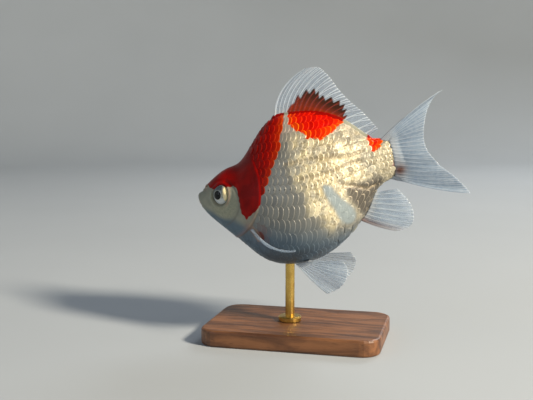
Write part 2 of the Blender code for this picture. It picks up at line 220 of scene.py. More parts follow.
def placed(points):
    """Fish frame in millimetres to the model's frame in metres."""
    x, y, z = np.moveaxis(bent(np.asarray(points, float)), -1, 0)
    c, s = math.cos(PITCH), math.sin(PITCH)
    return np.stack([(SNOUT[0] + x * c - z * s) * MM + SHIFT, y * MM,
                     (SNOUT[1] - FLOOR + x * s + z * c) * MM], -1)


# ---- meshes

def grid_quads(rows, columns, wrap=False):
    """Corner indices of a grid's cells, and the cells' corners as shares of the grid."""
    across = columns if wrap else columns - 1
    i, j = np.meshgrid(np.arange(rows - 1), np.arange(across), indexing="ij")
    i, j = i.ravel(), j.ravel()
    turn = (j + 1) % columns
    quads = np.stack([i * columns + j, (i + 1) * columns + j,
                      (i + 1) * columns + turn, i * columns + turn], 1)
    corners = np.stack([np.stack([i + a, j + b], 1) for a, b in ((0, 0), (1, 0), (1, 1), (0, 1))], 1)
    return quads, corners / np.array([rows - 1.0, float(across)])


def closed_rings(rings, around):
    """Quads and map corners of rings of points between one point first and one last."""
    count = rings * around
    rows = np.concatenate([np.full(around, 0), 1 + np.arange(count), np.full(around, count + 1)])
    quads, corners = grid_quads(rings + 2, around, wrap=True)
    return rows[quads], corners


def into(corners, low, high):
    """Shares of a grid carried into a rectangle of the flat map."""
    return np.array(low) + corners * (np.array(high) - np.array(low))


def build(name, points, quads, maps, marks, replaces=()):
    """Mesh object from points in metres, quads, maps of each corner and vertex marks.

    A quad with one vertex twice in a row is made a triangle.  The signed volume tells
    whether the faces point outwards, and turns them all if not.
    """
    a, b, c, d = (points[quads[:, k]] for k in range(4))
    if (a * (np.cross(b, c) + np.cross(c, d))).sum() < 0.0:
        quads = quads[:, ::-1]
        maps = {key: value[:, ::-1] for key, value in maps.items()}
    keep = quads != np.roll(quads, -1, axis=1)
    counts = keep.sum(1)
    mesh = bpy.data.meshes.new(name)
    mesh.vertices.add(len(points))
    mesh.vertices.foreach_set("co", points.astype(np.float32).ravel())
    mesh.loops.add(int(counts.sum()))
    mesh.loops.foreach_set("vertex_index", quads[keep].astype(np.int32))
    mesh.polygons.add(len(quads))
    starts = np.concatenate([[0], np.cumsum(counts)[:-1]])
    mesh.polygons.foreach_set("loop_start", starts.astype(np.int32))
    for key, value in maps.items():
        layer = mesh.uv_layers.new(name=key)
        layer.data.foreach_set("uv", value[keep].astype(np.float32).ravel())
    for key, value in marks.items():
        layer = mesh.attributes.new(key, "FLOAT", "POINT")
        layer.data.foreach_set("value", np.asarray(value, np.float32).ravel())
    mesh.update(calc_edges=True)
    mesh.shade_smooth()
    item = bpy.data.objects.new(name, mesh)
    bpy.context.scene.collection.objects.link(item)
    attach(item, "root")
    if replaces:
        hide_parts(*replaces)


def closed_sheet(rows, columns):
    """Quads and map corners of a thin closed sheet: front grid, back grid and four rims.

    Vertices are the front grid, then the back grid.  The map shows the front on the
    left half, the back on the right half and the rims as thin strips over them.
    """
    front, corners = grid_quads(rows, columns)
    half = rows * columns
    index = np.arange(half).reshape(rows, columns)
    quads = [front, front[:, ::-1] + half]
    flat = [into(corners, (0.01, 0.01), (0.49, 0.94)),
            into(corners[:, ::-1], (0.51, 0.01), (0.99, 0.94))]
    for k, edge in enumerate((index[0, ::-1], index[:, 0], index[-1], index[::-1, -1])):
        quads.append(np.stack([edge[:-1], edge[:-1] + half, edge[1:] + half, edge[1:]], 1))
        t = np.linspace(0.0, 1.0, len(edge))
        low, high = 0.955 + 0.011 * k, 0.962 + 0.011 * k
        strip = ((t[:-1], low), (t[:-1], high), (t[1:], high), (t[1:], low))
        flat.append(np.stack([np.stack([u, 0.0 * u + v], 1) for u, v in strip], 1))
    return np.vstack(quads), np.vstack(flat)


# ---- materials

def linear(colour):
    """sRGB hex colour to linear red, green, blue and 1."""
    channels = [int(colour[i:i + 2], 16) / 255.0 for i in (1, 3, 5)]
    return [c / 12.92 if c <= 0.04045 else ((c + 0.055) / 1.055) ** 2.4
            for c in channels] + [1.0]


def feed(item, inputs):
    """Sets or links each named or numbered input of a node; a string is a hex colour."""
    for key, value in inputs.items():
        if isinstance(value, bpy.types.NodeSocket):
            item.id_data.links.new(value, item.inputs[key])
        else:
            item.inputs[key].default_value = linear(value) if isinstance(value, str) else value


def add(kind, inputs, tree=None, **settings):
    """Adds a node to the tree, or to that of its linked inputs, and feeds its inputs."""
    linked = (value for value in inputs.values() if isinstance(value, bpy.types.NodeSocket))
    item = (tree or next(linked).id_data).nodes.new(kind)
    for key, value in settings.items():
        setattr(item, key, value)
    feed(item, inputs)
    return item


def new_material(name):
    """Empty node material with its shader already wired to the output."""
    material = bpy.data.materials.new(name)
    material.use_nodes = True
    return material, material.node_tree, material.node_tree.nodes["Principled BSDF"]


def mixed(factor, first, second):
    """Colour mix of two colours by a factor."""
    return add("ShaderNodeMix", {0: factor, 6: first, 7: second}, data_type="RGBA").outputs[2]


def ramp(value, low, high, start=0.0, end=1.0):
    """Smooth step of a value from start at low to end at high."""
    return add("ShaderNodeMapRange", {0: value, 1: low, 2: high, 3: start, 4: end},
               interpolation_type="SMOOTHSTEP").outputs[0]


def maths(operation, *values):
    """Result of a math node on one or two values."""
    return add("ShaderNodeMath", dict(enumerate(values)), operation=operation).outputs[0]


def times(first, second):
    return maths("MULTIPLY", first, second)


def stained(colour, share, strength, stain):
    """A colour mixed towards a stain by a share times a strength."""
    return mixed(times(share, strength), colour, stain)


def read(tree, names):
    """The vertex marks named in a line of words."""
    return [add("ShaderNodeAttribute", {}, tree, attribute_name=name).outputs["Fac"]
            for name in names.split()]


def objectwise(tree):
    return add("ShaderNodeTexCoord", {}, tree).outputs["Object"]


def noise(tree, size, detail=2.0):
    """Noise whose patches are about size millimetres across, on object coordinates."""
    return add("ShaderNodeTexNoise", {"Vector": objectwise(tree), "Scale": 1.0 / (size * MM),
                                      "Detail": detail}).outputs["Fac"]


def streaks(place, stretch, scale=1.0, detail=2.0, turn=(0.0, 0.0, 0.0), twist=0.0):
    """Noise on coordinates that are turned and stretched."""
    drawn = add("ShaderNodeMapping", {"Vector": place, "Scale": stretch, "Rotation": turn})
    return add("ShaderNodeTexNoise", {"Vector": drawn.outputs[0], "Scale": scale,
                                      "Detail": detail, "Distortion": twist}).outputs["Fac"]


def bumpy(height, strength, depth, invert=False):
    """Normal of a surface with fine relief, depth millimetres deep."""
    return add("ShaderNodeBump", {"Height": height, "Strength": strength,
                                  "Distance": depth * MM}, invert=invert).outputs[0]


# ---- markings

def line_distance(x, z, line):
    """Distance in the x-z plane to an open line through points."""
    start, step = line[:-1], np.diff(line, axis=0)
    to_x, to_z = x[..., None] - start[:, 0], z[..., None] - start[:, 1]
    t = np.clip((to_x * step[:, 0] + to_z * step[:, 1]) / (step ** 2).sum(1), 0.0, 1.0)
    return np.hypot(to_x - t * step[:, 0], to_z - t * step[:, 1]).min(-1)


def patch(x, z, outline):
    """Signed distance to a closed outline in the x-z plane, positive inside it.

    The outline's corners are cut twice, at the quarter points of its edges.
    """
    for _ in range(2):
        after = np.roll(outline, -1, axis=0)
        quarters = [0.75 * outline + 0.25 * after, 0.25 * outline + 0.75 * after]
        outline = np.stack(quarters, 1).reshape(-1, 2)
    closed = np.vstack([outline, outline[:1]])
    distance = line_distance(x, z, closed)
    (ax, az), (bx, bz) = closed[:-1].T, closed[1:].T
    cross_x = ax + (z[..., None] - az) * (bx - ax) / np.where(bz == az, 1e-9, bz - az)
    crossed = ((az > z[..., None]) != (bz > z[..., None])) & (x[..., None] < cross_x)
    return np.where(crossed.sum(-1) % 2 == 1, distance, -distance)


SADDLE = np.array([
    (5.2, 12.0), (5.8, 6.0), (6.7, 4.4), (8.2, 3.0), (9.8, 2.1), (13.4, 1.8), (16.9, 2.2),
    (19.4, 2.3), (21.4, 1.8), (21.9, -1.0), (22.2, -3.6), (21.9, -5.8), (22.3, -8.2),
    (23.1, -10.3), (24.6, -12.6), (26.5, -10.7), (28.8, -9.9), (30.6, -8.7), (33.2, -5.2),
    (35.7, -0.8), (38.3, 5.3), (40.4, 8.9), (42.5, 12.2), (44.1, 19.2), (44.9, 25.1),
    (45.0, 40.0)])
BACK_PATCH = np.array([
    (46.4, 40.0), (46.6, 26.8), (47.6, 22.4), (51.0, 19.5), (53.4, 17.4), (56.1, 15.2),
    (59.2, 13.8), (62.8, 13.9), (63.7, 16.5), (66.5, 17.5), (68.8, 18.7), (69.6, 24.0),
    (69.6, 40.0)])
STALK_PATCH = np.array([
    (76.6, 20.0), (77.2, 11.9), (77.9, 8.0), (78.6, 4.7), (81.1, 5.8), (83.0, 8.2),
    (85.2, 10.3), (85.0, 20.0)])
# Outline of the painted shadow on the left flank, pale bluish grey within the sunlit sheen.
SHADOW_OUTLINE = np.array([
    (58.6, -3.4), (62.2, -5.0), (62.8, -7.6), (65.5, -12.0), (68.0, -15.8), (68.0, -19.2),
    (66.3, -22.2), (63.2, -21.9), (62.0, -18.8), (61.1, -13.8), (59.2, -8.8), (58.5, -5.8)])
# Outline of the painted shade over the hollow ahead of the anal fin.
HOLLOW_SHADE_OUTLINE = np.array([
    (66.2, -5.9), (71.6, -6.3), (79.5, -5.1), (81.3, -7.3), (77.7, -11.2), (74.8, -14.7),
    (73.5, -19.8), (70.0, -19.8), (68.6, -15.5), (66.7, -11.7)])
FOLDS = (
    np.array([(45.0, 7.2), (55.0, 7.5), (62.4, 6.7), (69.8, 5.6), (75.3, 6.4)]),
    np.array([(49.3, 0.4), (55.7, 0.5), (62.7, 0.8), (68.2, 2.4), (74.0, 2.6)]),
    np.array([(65.5, -5.0), (69.3, -6.4), (74.0, -9.0), (77.6, -8.5)]))
FOLD_DEPTH = 0.55


def redness(x, y, z):
    """Signed distance to the red markings, whose edges wander by 0.3 mm.

    The right flank's patches end a little higher.
    """
    back = section_of(x)[..., 1]
    higher = 0.13 * smooth(x, 24.0, 32.0) * smooth(y, 0.0, 4.0)
    wander = 0.3 * np.sin(1.7 * x + 0.9 * z) * np.sin(1.2 * x - 1.5 * z + 1.0)
    z = z - higher * np.clip(back - z, 0.0, None)
    inside = [patch(x, z, outline) for outline in (SADDLE, BACK_PATCH, STALK_PATCH)]
    return np.maximum.reduce(inside) + wander


def tones(x, y, z, wobble):
    """Shares of the painted light and shade on the flanks: a painted warm sunlit sheen behind,
    the painted bluish shade of the belly, the left flank's pale painted shadow and the painted
    shade over the hollow ahead of the anal fin.  The sheen starts further ahead by the wobble."""
    warm = smooth(x + wobble + 0.4 * np.minimum(z, 0.0), 43.5, 53.5)
    warm *= (1.0 - 0.35 * smooth(x, 63.0, 73.0)) * (1.0 - 0.55 * smooth(z, 13.0, 20.0))
    warm *= smooth(z + 0.45 * (60.0 - x), -28.0, -20.0) * (1.0 - smooth(x, 85.0, 89.0))
    cool = smooth(-z - 0.25 * x, 3.0, 17.0)
    blue = smooth(patch(x, z, SHADOW_OUTLINE), -0.7, 0.9) * (y < 0.0)
    dull = smooth(patch(x, z, HOLLOW_SHADE_OUTLINE), -1.6, 1.6)
    return warm * (1.0 - blue) * (1.0 - dull), cool, blue, dull


def folds(x, z):
    """Share of the shallow folds that run along the rear flank: bells round three lines."""
    return np.maximum.reduce([bump(line_distance(x, z, line), 0.65) for line in FOLDS])


# ---- the skin

AROUND = 280
CHEEK_LINE = spline([(16.0, 4.6), (19.4, 2.2), (21.7, -1.7), (22.0, -5.2), (20.4, -8.8),
                     (17.0, -12.0), (12.6, -13.8), (8.4, -12.9)], np.linspace(0, 7, 60))
JAW_LINE = np.array([(3.6, -5.6), (6.6, -8.4), (9.2, -12.6)])
TAIL_EDGE = np.array([(-12.0, 84.0), (-7.0, 86.6), (-0.7, 87.4), (8.8, 87.2),
                      (10.6, 85.7), (13.3, 82.9)])


def round_gill(x, z):
    """Distance from the centre of the round gill edge, and angle round it in degrees."""
    away, up = x - HEAD_CENTRE[0], z - HEAD_CENTRE[1]
    return np.hypot(away, up), np.degrees(np.arctan2(up, away))


def before_tail(z):
    """x at which the scales end and the tail fin's flesh starts."""
    return np.interp(z, TAIL_EDGE[:, 0], TAIL_EDGE[:, 1])


def scaled(x, z):
    """1 where scales cover the skin: behind the gill edge and ahead of the tail fin."""
    radius, angle = round_gill(x, z)
    soft = 0.35 + 0.9 * smooth(angle, -42.0, -24.0) + 1.5 * smooth(angle, 26.0, 40.0)
    behind = smooth(radius, GILL_RADIUS, GILL_RADIUS + soft)
    end = before_tail(z)
    return np.where(x > 12.0, behind, 0.0) * (1.0 - smooth(x, end - 0.9, end))


def eye_distances(points):
    """Distance from the nearer eye's axis, and height along it from the eye's centre."""
    near = points * np.array([1.0, -1.0, 1.0]) ** (points[..., 1:2] > 0.0)
    away = near - EYE_CENTRE
    height = away @ EYE_AXIS
    return np.linalg.norm(away - height[..., None] * EYE_AXIS, axis=-1), height


def head_relief(x, side, z):
    """Height of the nose, lips and jaw: notched snout, nostrils with a flap between, lips
    round the mouth's slit with its corners, and the jaw's groove."""
    height = -1.0 * bump(np.hypot(x - 2.6, z - 3.4), 1.7) * (1.0 - smooth(side, 2.4, 4.6))
    to_nose = np.stack([x, side, z], -1) - NOSTRIL
    across, span = to_nose @ unit(np.array([0.75, 0.25, 0.5])), np.linalg.norm(to_nose, axis=-1)
    pits = bump(np.hypot(across + 0.75, span - np.abs(across)), 0.42)
    pits += bump(np.hypot(across - 0.75, span - np.abs(across)), 0.5)
    height += 0.34 * bump(span - 1.2, 0.6) - 0.8 * pits + 0.6 * bump(span, 0.4)

    front = (1.0 - smooth(x, 3.2, 4.6)) * (1.0 - smooth(side, 2.6, 3.5))
    off = z - (LIP_LEVEL - 0.10 * side ** 2)
    height += front * (0.14 * bump(off - 1.0, 0.8) + 0.12 * bump(off + 1.0, 0.8))
    height -= front * (0.55 * bump(off, 0.30) + 0.05 * bump(off - 2.3, 0.6))
    height -= (1.0 - smooth(x, 3.0, 5.5)) * 0.05 * bump(off + 2.2, 0.6)
    height -= 0.3 * bump(np.hypot(side - 3.35, off), 0.7) * (x < 6.0)
    return height - 0.16 * bump(line_distance(x, z, JAW_LINE), 0.8)


def gill_relief(x, side, z):
    """Height of the cheek's groove and of the gill cover with its ribs and free edge."""
    radius, angle = round_gill(x, z)
    low = 1.0 - 0.75 * smooth(angle, -40.0, -22.0) - 0.25 * smooth(angle, 24.0, 38.0)
    low = low * smooth(side, 3.5, 9.0)
    cheek = line_distance(x, z, CHEEK_LINE)
    cover = low * smooth(cheek, 0.5, 2.4) * smooth(radius, CHEEK_RADIUS, CHEEK_RADIUS + 2.0)
    cover *= 1.0 - smooth(radius, GILL_RADIUS - 0.1, GILL_RADIUS + 0.25)
    height = cover * (0.24 + 0.04 * np.cos(np.radians(angle * 34.0 + 9.0 * radius)))
    height += 0.12 * low * bump(radius - (GILL_RADIUS - 0.5), 0.45)
    height -= 0.12 * low * bump(radius - (GILL_RADIUS - 2.1), 0.5)
    return height * (x > 12.0) - 0.26 * bump(cheek, 0.6) * smooth(x, 9.0, 15.0)


def relief(p):
    """Height of the skin's forms over the plain body, in mm, as sums of bell curves.

    p holds points on the plain body.  The forms are the coat's depth, the rear flank's
    folds, the eye's socket and rim, the head's and gill cover's forms, the breast, the
    pectoral's base, the ridge under the dorsal fin, the vent and the tail's ribbed end.
    """
    x, y, z = np.moveaxis(p, -1, 0)
    side = np.abs(y)
    height = -COAT * scaled(x, z) - FOLD_DEPTH * folds(x, z)

    away, forward = eye_distances(p)
    socket = -0.75 * (1.0 - smooth(away, 3.9, 4.5)) + 0.30 * bump(away - EYE_RADIUS, 0.6)
    height += np.where(forward > 0.0, socket - 0.10 * bump(away - 6.5, 0.6), 0.0)
    height += head_relief(x, side, z) + gill_relief(x, side, z)

    breast = smooth(z, -14.0, -22.0) * smooth(x, 14.0, 18.0) * (1.0 - smooth(x, 30.0, 40.0))
    height += 0.25 * breast * bump(side, 3.0)
    height += 0.55 * bump(line_distance(x, z, PECTORAL_BASE), 1.3)
    ridge = smooth(x, 37.5, 40.5) * (1.0 - smooth(x, 77.0, 81.0)) * (z > 0.0)
    height += (COAT + 0.75) * ridge * bump(side, 1.5)
    vent = np.hypot(x - 65.2, side)
    height += np.where(z < 0.0, 0.9 * bump(vent, 1.5) - 0.9 * bump(vent, 0.5), 0.0)
    return height - smooth(x, 86.5, 89.0) * (0.2 + 0.12 * np.cos(2.6 * z) * np.cos(1.7 * x))


def skin_marks(points):
    """Marks of the skin's colours, and of the shade painted in its creases and under the head, at
    points on the plain body.
    """
    x, y, z = points.T
    radius, angle = round_gill(x, z)
    low = (1.0 - smooth(angle, -38.0, -20.0)) * (x > 12.0)
    away, forward = eye_distances(points)
    away = np.where(forward > 0.0, away, 99.0)
    mouth = bump(LIP_LEVEL - 0.10 * y ** 2 - z, 0.45) * (x < 4.5) * (np.abs(y) < 3.6)
    cheek = bump(line_distance(x, z, CHEEK_LINE), 0.5) * smooth(x, 10.0, 15.0)
    return {
        "red": redness(x, y, z),
        # Painted shade in the cheek's groove, the gill slit behind the cover, round the eye and in
        # the mouth's slit.
        "crease": np.maximum.reduce([
            0.5 * cheek * (radius < GILL_RADIUS), 0.7 * bump(radius - GILL_RADIUS - 0.2, 0.3) * low,
            0.5 * bump(away - 4.25, 0.4), mouth]),
        "cheek": 1.0 - smooth(np.hypot((x - 14.4) / 7.4, (z + 3.8) / 7.6), 0.75, 1.10),
        # Painted bluish shade under the head and jaw.
        "under": smooth(-z - 0.45 * x, 2.0, 6.5) * (1.0 - smooth(x, 20.0, 34.0)),
        "pink": np.maximum.reduce([
            0.9 * bump(np.hypot(x - 29.0, z + 19.4), 2.3),
            0.35 * bump(line_distance(x, z, PECTORAL_BASE), 2.6),
            0.75 * bump(np.hypot(x - 87.0, (z + 1.0) * 0.8), 2.6),
            0.25 * bump(radius - GILL_RADIUS + 0.3, 0.9) * low,
            0.35 * (1.0 - smooth(x, 0.8, 2.6)) * bump(z - LIP_LEVEL, 1.5),
            0.45 * bump(np.hypot(x - 5.0, z - 4.2), 1.5),
            0.35 * bump(away - 5.3, 0.5) * smooth(x, 14.0, 17.0)]),
        "flesh": smooth(x, 84.5, 87.0),
        "bruise": bump(np.hypot(x - 86.6, z + 5.4), 2.6)}


def make_skin():
    """One closed skin: rings along the body, finer where the head's small forms are."""
    fine = np.linspace(0.0, LAST, 4000)
    outline = section_at(fine)
    steps = np.linalg.norm(np.diff(outline[:, :4], axis=0), axis=1)
    x = (outline[1:, 0] + outline[:-1, 0]) / 2.0
    spacing = 0.17 + 0.17 * smooth(x, 3.0, 8.0) + 0.55 * smooth(x, 36.0, 46.0)
    spacing -= 0.45 * smooth(x, 74.0, 84.0)
    passed = np.concatenate([[0.0], np.cumsum(steps / spacing)])
    places = np.interp(np.linspace(0.0, passed[-1], int(passed[-1])), passed, fine)[1:-1]
    angles = np.linspace(-0.5 * np.pi, 1.5 * np.pi, AROUND, endpoint=False)
    plain = body_at(section_at(places)[:, None], angles[None])
    points = plain + relief(plain)[..., None] * normals(plain, wrap=True)
    snout, end = np.array([0.0, 0.0, -0.2]), np.array([89.3, 0.0, 1.3])
    everything, base = (np.vstack([snout, grid.reshape(-1, 3), end]) for grid in (points, plain))
    quads, corners = closed_rings(len(places), AROUND)
    build("skin", placed(everything), quads, {"OFBake": corners}, skin_marks(base),
          ("mouth", "head", "gill_cover_left", "gill_cover_right", "trunk", "tail_stalk"))


# ---- the scales

LATERAL_LINE = np.array([
    (14.0, 0.6), (24.0, 0.2), (33.0, -1.4), (45.0, -3.0), (52.0, -3.3), (60.0, -3.4),
    (66.0, -2.0), (73.0, 0.6), (78.4, 1.2), (84.0, 1.4), (92.0, 1.4)])
ROW_HEIGHT = np.array([(14.0, 3.2), (26.0, 3.7), (34.0, 3.9), (44.0, 3.75), (56.0, 3.6),
                       (66.0, 3.4), (74.0, 3.0), (80.0, 2.7), (92.0, 2.5)])
COLUMN_STEP = np.array([(14.0, 2.1), (28.0, 2.3), (42.0, 2.3), (52.0, 2.15), (60.0, 1.95),
                        (68.0, 1.85), (76.0, 1.9), (92.0, 1.8)])
COLUMN_LEAN = math.tan(PITCH)      # columns of scales stand upright in the tipped fish
LOW_LEAN = 0.13                    # and lean further back below the lateral line
HIGH_LEAN = 0.13                   # but less over its rear part
STATIONS = np.linspace(14.0, 89.0, 301)
TURNS = np.linspace(-0.85 * np.pi, 0.85 * np.pi, 681)
ARCS = np.linspace(-75.0, 75.0, 601)
RIDGE_STEP, RIDGE_ROW = 2.0, 3.2   # length and width of the midline rows' cells
ALONG, ACROSS = 9, 11              # points of a scale's grid
SCALE_HALF = 0.62                  # half a scale's height, in rows
ROOT = -1.2                        # columns from its centre to its root
RISE, CROWN = 0.17, 0.13           # mm it rises a column, and mm it is crowned across


def along_line(table, x):
    """Smooth reading of a two-column table: the mean of five nearby straight readings."""
    near = np.stack([np.interp(x + k, table[:, 0], table[:, 1]) for k in (-4, -2, 0, 2, 4)])
    return near.mean(0)


def row_arc(row, x):
    """Arc length of a row above the lateral line; rows under it are up to 1.55 as tall."""
    below = 0.55 * smooth(x, 25.0, 45.0) * (1.0 - smooth(x, 54.0, 76.0))
    more = 0.2 * np.clip(row - 4.5, 0.0, None) - below * np.clip(-0.75 - row, 0.0, None)
    return (row + more) * along_line(ROW_HEIGHT, x)


def coat_tables():
    """Tables over stations and arc lengths, for the surface the scales are set on.

    Returns the turn round the body at each arc length above the lateral line, and the
    arc lengths of the belly's and the back's midline, at each station.
    """
    section = section_of(STATIONS)
    under = body_at(section[:, None], TURNS[None])
    steps = np.linalg.norm(np.diff(under, axis=1), axis=2)
    arcs = np.concatenate([np.zeros((len(STATIONS), 1)), np.cumsum(steps, axis=1)], 1)

    def arc_at(turns):
        return np.array([np.interp(t, TURNS, row) for t, row in zip(turns, arcs)])

    arcs -= arc_at(np.arcsin(rise(section, along_line(LATERAL_LINE, STATIONS))))[:, None]
    table = np.array([np.interp(ARCS, row, TURNS) for row in arcs])
    quarter = np.full(len(STATIONS), 0.5 * np.pi)
    return table, arc_at(-quarter), arc_at(quarter)


TURN_TABLE, BELLY_ARC, BACK_ARC = coat_tables()


def turn_at(x, arc):
    """Turn round the body at x and an arc length, by bilinear reading of the table."""
    row = np.clip((x - STATIONS[0]) / (STATIONS[1] - STATIONS[0]), 0, len(STATIONS) - 1.001)
    column = np.clip((arc - ARCS[0]) / (ARCS[1] - ARCS[0]), 0, len(ARCS) - 1.001)
    i, j = row.astype(int), column.astype(int)
    u, v = row - i, column - j
    return (TURN_TABLE[i, j] * (1 - u) * (1 - v) + TURN_TABLE[i + 1, j] * u * (1 - v)
            + TURN_TABLE[i, j + 1] * (1 - u) * v + TURN_TABLE[i + 1, j + 1] * u * v)


def surface(x, turn):
    """Point and outward normal of the plain body at x and a turn round it."""
    here = section_of(x)
    along = body_at(section_of(x + 0.4), turn) - body_at(section_of(x - 0.4), turn)
    around = body_at(here, turn + 0.01) - body_at(here, turn - 0.01)
    return body_at(here, turn), unit(np.cross(along, around))


LATTICE_X = np.linspace(14.0, 92.0, 1000)
LATTICE = np.cumsum(1.0 / along_line(COLUMN_STEP, LATTICE_X)) * (LATTICE_X[1] - LATTICE_X[0])


def flank_place(column, row):
    """Point and normal at a column and row of the left flank's lattice.

    The column counts steps along the lateral line and leans with height, and the row
    gives the arc length above it, so x is found by repeated substitution.
    """
    line_x = np.interp(column, LATTICE, LATTICE_X)
    x = line_x.copy()
    for _ in range(4):
        z = body_at(section_of(x), turn_at(x, row_arc(row, x)))[..., 2]
        up = z - along_line(LATERAL_LINE, line_x)
        x = line_x + COLUMN_LEAN * up - LOW_LEAN * np.clip(-4.0 - up, 0.0, None)
        x = x - HIGH_LEAN * smooth(line_x, 36.0, 48.0) * np.clip(up, 0.0, None)
        x = np.clip(x, 14.0, 89.0)
    return surface(x, turn_at(x, row_arc(row, x)))


def ridge_place(back):
    """Place function of a row of scales centred on the back's or the belly's midline."""
    x = np.linspace(15.0, 89.0, 1500)
    middle = section_of(x)[:, 1 if back else 2]
    passed = np.concatenate([[0.0], np.cumsum(np.hypot(np.diff(x), np.diff(middle)))])
    middle_arc = BACK_ARC if back else BELLY_ARC

    def place(column, row):
        at = np.interp(column * RIDGE_STEP, passed, x)
        arc = np.interp(at, STATIONS, middle_arc) + row * RIDGE_ROW
        return surface(at, turn_at(at, arc))
    return place, passed[-1] / RIDGE_STEP


def scale_form():
    """One scale's offsets in columns and rows, and heights of its two faces in mm.

    The rear edge is 0.5 - 0.9 row^2 - 3.6 row^4 columns behind the centre.  The plate
    rises by RISE a column from root to rear edge, is crowned across, and thins to its edges.
    """
    t, v = np.meshgrid(np.linspace(0.0, 1.0, ALONG) ** 0.85, np.linspace(-1.0, 1.0, ACROSS),
                       indexing="ij")
    row = SCALE_HALF * np.sin(0.5 * np.pi * v)
    column = ROOT + (0.50 - 0.9 * row ** 2 - 3.6 * row ** 4 - ROOT) * t
    top = 0.06 + RISE * (column - ROOT) + CROWN * (1.0 - (row / SCALE_HALF) ** 2)
    top = top + 0.03 * bump(t - 0.93, 0.07)
    thick = 0.05 + 0.08 * np.sqrt(np.clip((1.0 - t ** 6) * (1.0 - v ** 6), 0.0, 1.0))
    return column, row, top, top - thick, t, v


def make_scales(name, place, centres, side=1.0, lift=0.0, pores=True):
    """Plates at the centres (column, row), each a closed sheet on the place function."""
    column, row, top, under, t, v = scale_form()
    count = len(centres)
    size = rng.uniform(0.94, 1.05, (count, 1, 1))
    shift = rng.normal(0.0, 0.035, (count, 2, 1, 1))
    point, facing = place(centres[:, 0, None, None] + shift[:, 0] + column * size,
                          centres[:, 1, None, None] + shift[:, 1] * 0.5 + row * size)
    heart = place(centres[:, 0], centres[:, 1])[0]
    flat_belly = 1.0 - 0.6 * smooth(-point[..., 2] - 0.25 * point[..., 0], 3.0, 12.0)
    rough = (0.035 + 0.075 * smooth(heart[:, 0], 48.0, 66.0))[:, None, None]
    tip = rng.normal(0.0, 1.0, (count, 1, 1)) * rough
    twist = rng.normal(0.0, 1.3, (count, 1, 1)) * rough
    extra = lift - COAT + tip * t + twist * t * v
    extra = extra - FOLD_DEPTH * folds(point[..., 0], point[..., 2])
    faces = [point + (h * flat_belly + extra)[..., None] * facing for h in (top, under)]
    mirror = np.array([1.0, side, 1.0])
    faces, heart = np.stack(faces, 1) * mirror, heart * mirror
    quads, flat = closed_sheet(ALONG, ACROSS)
    starts = 2 * ALONG * ACROSS * np.arange(count)
    span = centres.max(0) - centres.min(0) + 1.0
    cell = (centres - centres.min(0)) / span
    flat = (cell[:, None, None] + flat[None] * 0.94 / span).reshape(-1, 4, 2)
    front = np.moveaxis(faces[:, :1], -1, 0)
    # Painted light and shade of each scale: the sunlit sheen, the belly's bluish shade, the left
    # flank's shadow and the hollow's shade.
    warm, cool, blue, dull = tones(*front, rng.normal(0.0, 1.2, (count, 1, 1, 1)))
    red = redness(*heart.T) + rng.normal(0.0, 0.3, count)
    hx, _, hz = heart.T
    values = {
        "red": 0.45 * redness(*front) + 0.55 * red[:, None, None, None],
        "border": bump(np.clip(red, 0.0, None), 2.2),
        "tone": rng.uniform(0.0, 1.0, count),
        "warm": warm, "cool": cool, "blue": blue, "dull": dull,
        # Painted sunlight on the reds, rising towards the back patch; the saddle's reds ahead are
        # dark as painted shade.
        "bright": 0.7 * smooth(hx, 43.0, 47.0) + 0.3 * smooth(hx + 0.4 * hz, 28.0, 50.0),
        # Painted shade in the rear flank's folds.
        "fold": folds(front[0], front[2]),
        "rough": smooth(hx + 0.1 * hz, 48.0, 66.0),
        # Painted light along the top of the back.
        "pale": smooth(hz + 0.12 * np.clip(hx - 55.0, 0.0, None), 16.0, 21.0),
        "pink": bump(np.hypot(hx - 29.4, hz + 19.6), 2.4),
        "line": pores * (np.abs(centres[:, 1]) < 0.25),
        "along": t, "across": v}
    spread = np.ones((count, 2, ALONG, ACROSS))
    marks = {key: (value[:, None, None, None] if value.ndim == 1 else value) * spread
             for key, value in values.items()}
    build(name, placed(faces.reshape(-1, 3)), (quads + starts[:, None, None]).reshape(-1, 4),
          {"OFBake": flat}, marks)


def flank_centres():
    """Centres of the flank's scales: whole columns on even rows, half columns on odd."""
    column, row = np.meshgrid(np.arange(0, 40), np.arange(-14, 14), indexing="ij")
    centres = np.stack([column + 0.5 * (row % 2), row], -1).reshape(-1, 2).astype(float)
    x, _, z = flank_place(centres[:, 0], centres[:, 1])[0].T
    arc = row_arc(centres[:, 1], x)
    room = 0.15 * (row_arc(centres[:, 1] + 0.5, x) - row_arc(centres[:, 1] - 0.5, x))
    inside = (arc < np.interp(x, STATIONS, BACK_ARC) - room) & (x > 14.5)
    inside &= arc > np.interp(x, STATIONS, BELLY_ARC) + room
    inside &= (round_gill(x, z)[0] > GILL_RADIUS + 0.1) & (x < before_tail(z) - 0.7)
    return centres[inside]


def ridge_centres(back):
    """Place function and centres of a midline's scales, clear of the fins and the tail."""
    place, length = ridge_place(back)
    column = np.arange(0, int(length)).astype(float)
    x, _, z = place(column, 0.0 * column)[0].T
    keep = (round_gill(x, z)[0] > GILL_RADIUS + 0.3) & (x < 85.0)
    keep &= ((x < 38.6) | (x > 80.0)) if back else ((x < 63.0) | (x > 79.0))
    return place, np.stack([column, 0.0 * column], 1)[keep]


# ---- the fins

PER_RAY = 16
DORSAL_RAYS = 18


def branches(share, out):
    """Distance from the nearest branch of a ray, as a share of the rays' spacing.

    share runs from 0 to 1 between membranes, with the ray at 0.5.  The ray forks at 0.35
    of the way out and again at 0.7, so the distance is folded at each fork's spread.
    """
    off = np.abs(np.abs(share - 0.5) - 0.23 * smooth(out, 0.34, 1.05))
    return np.abs(off - 0.11 * smooth(out, 0.68, 1.25))


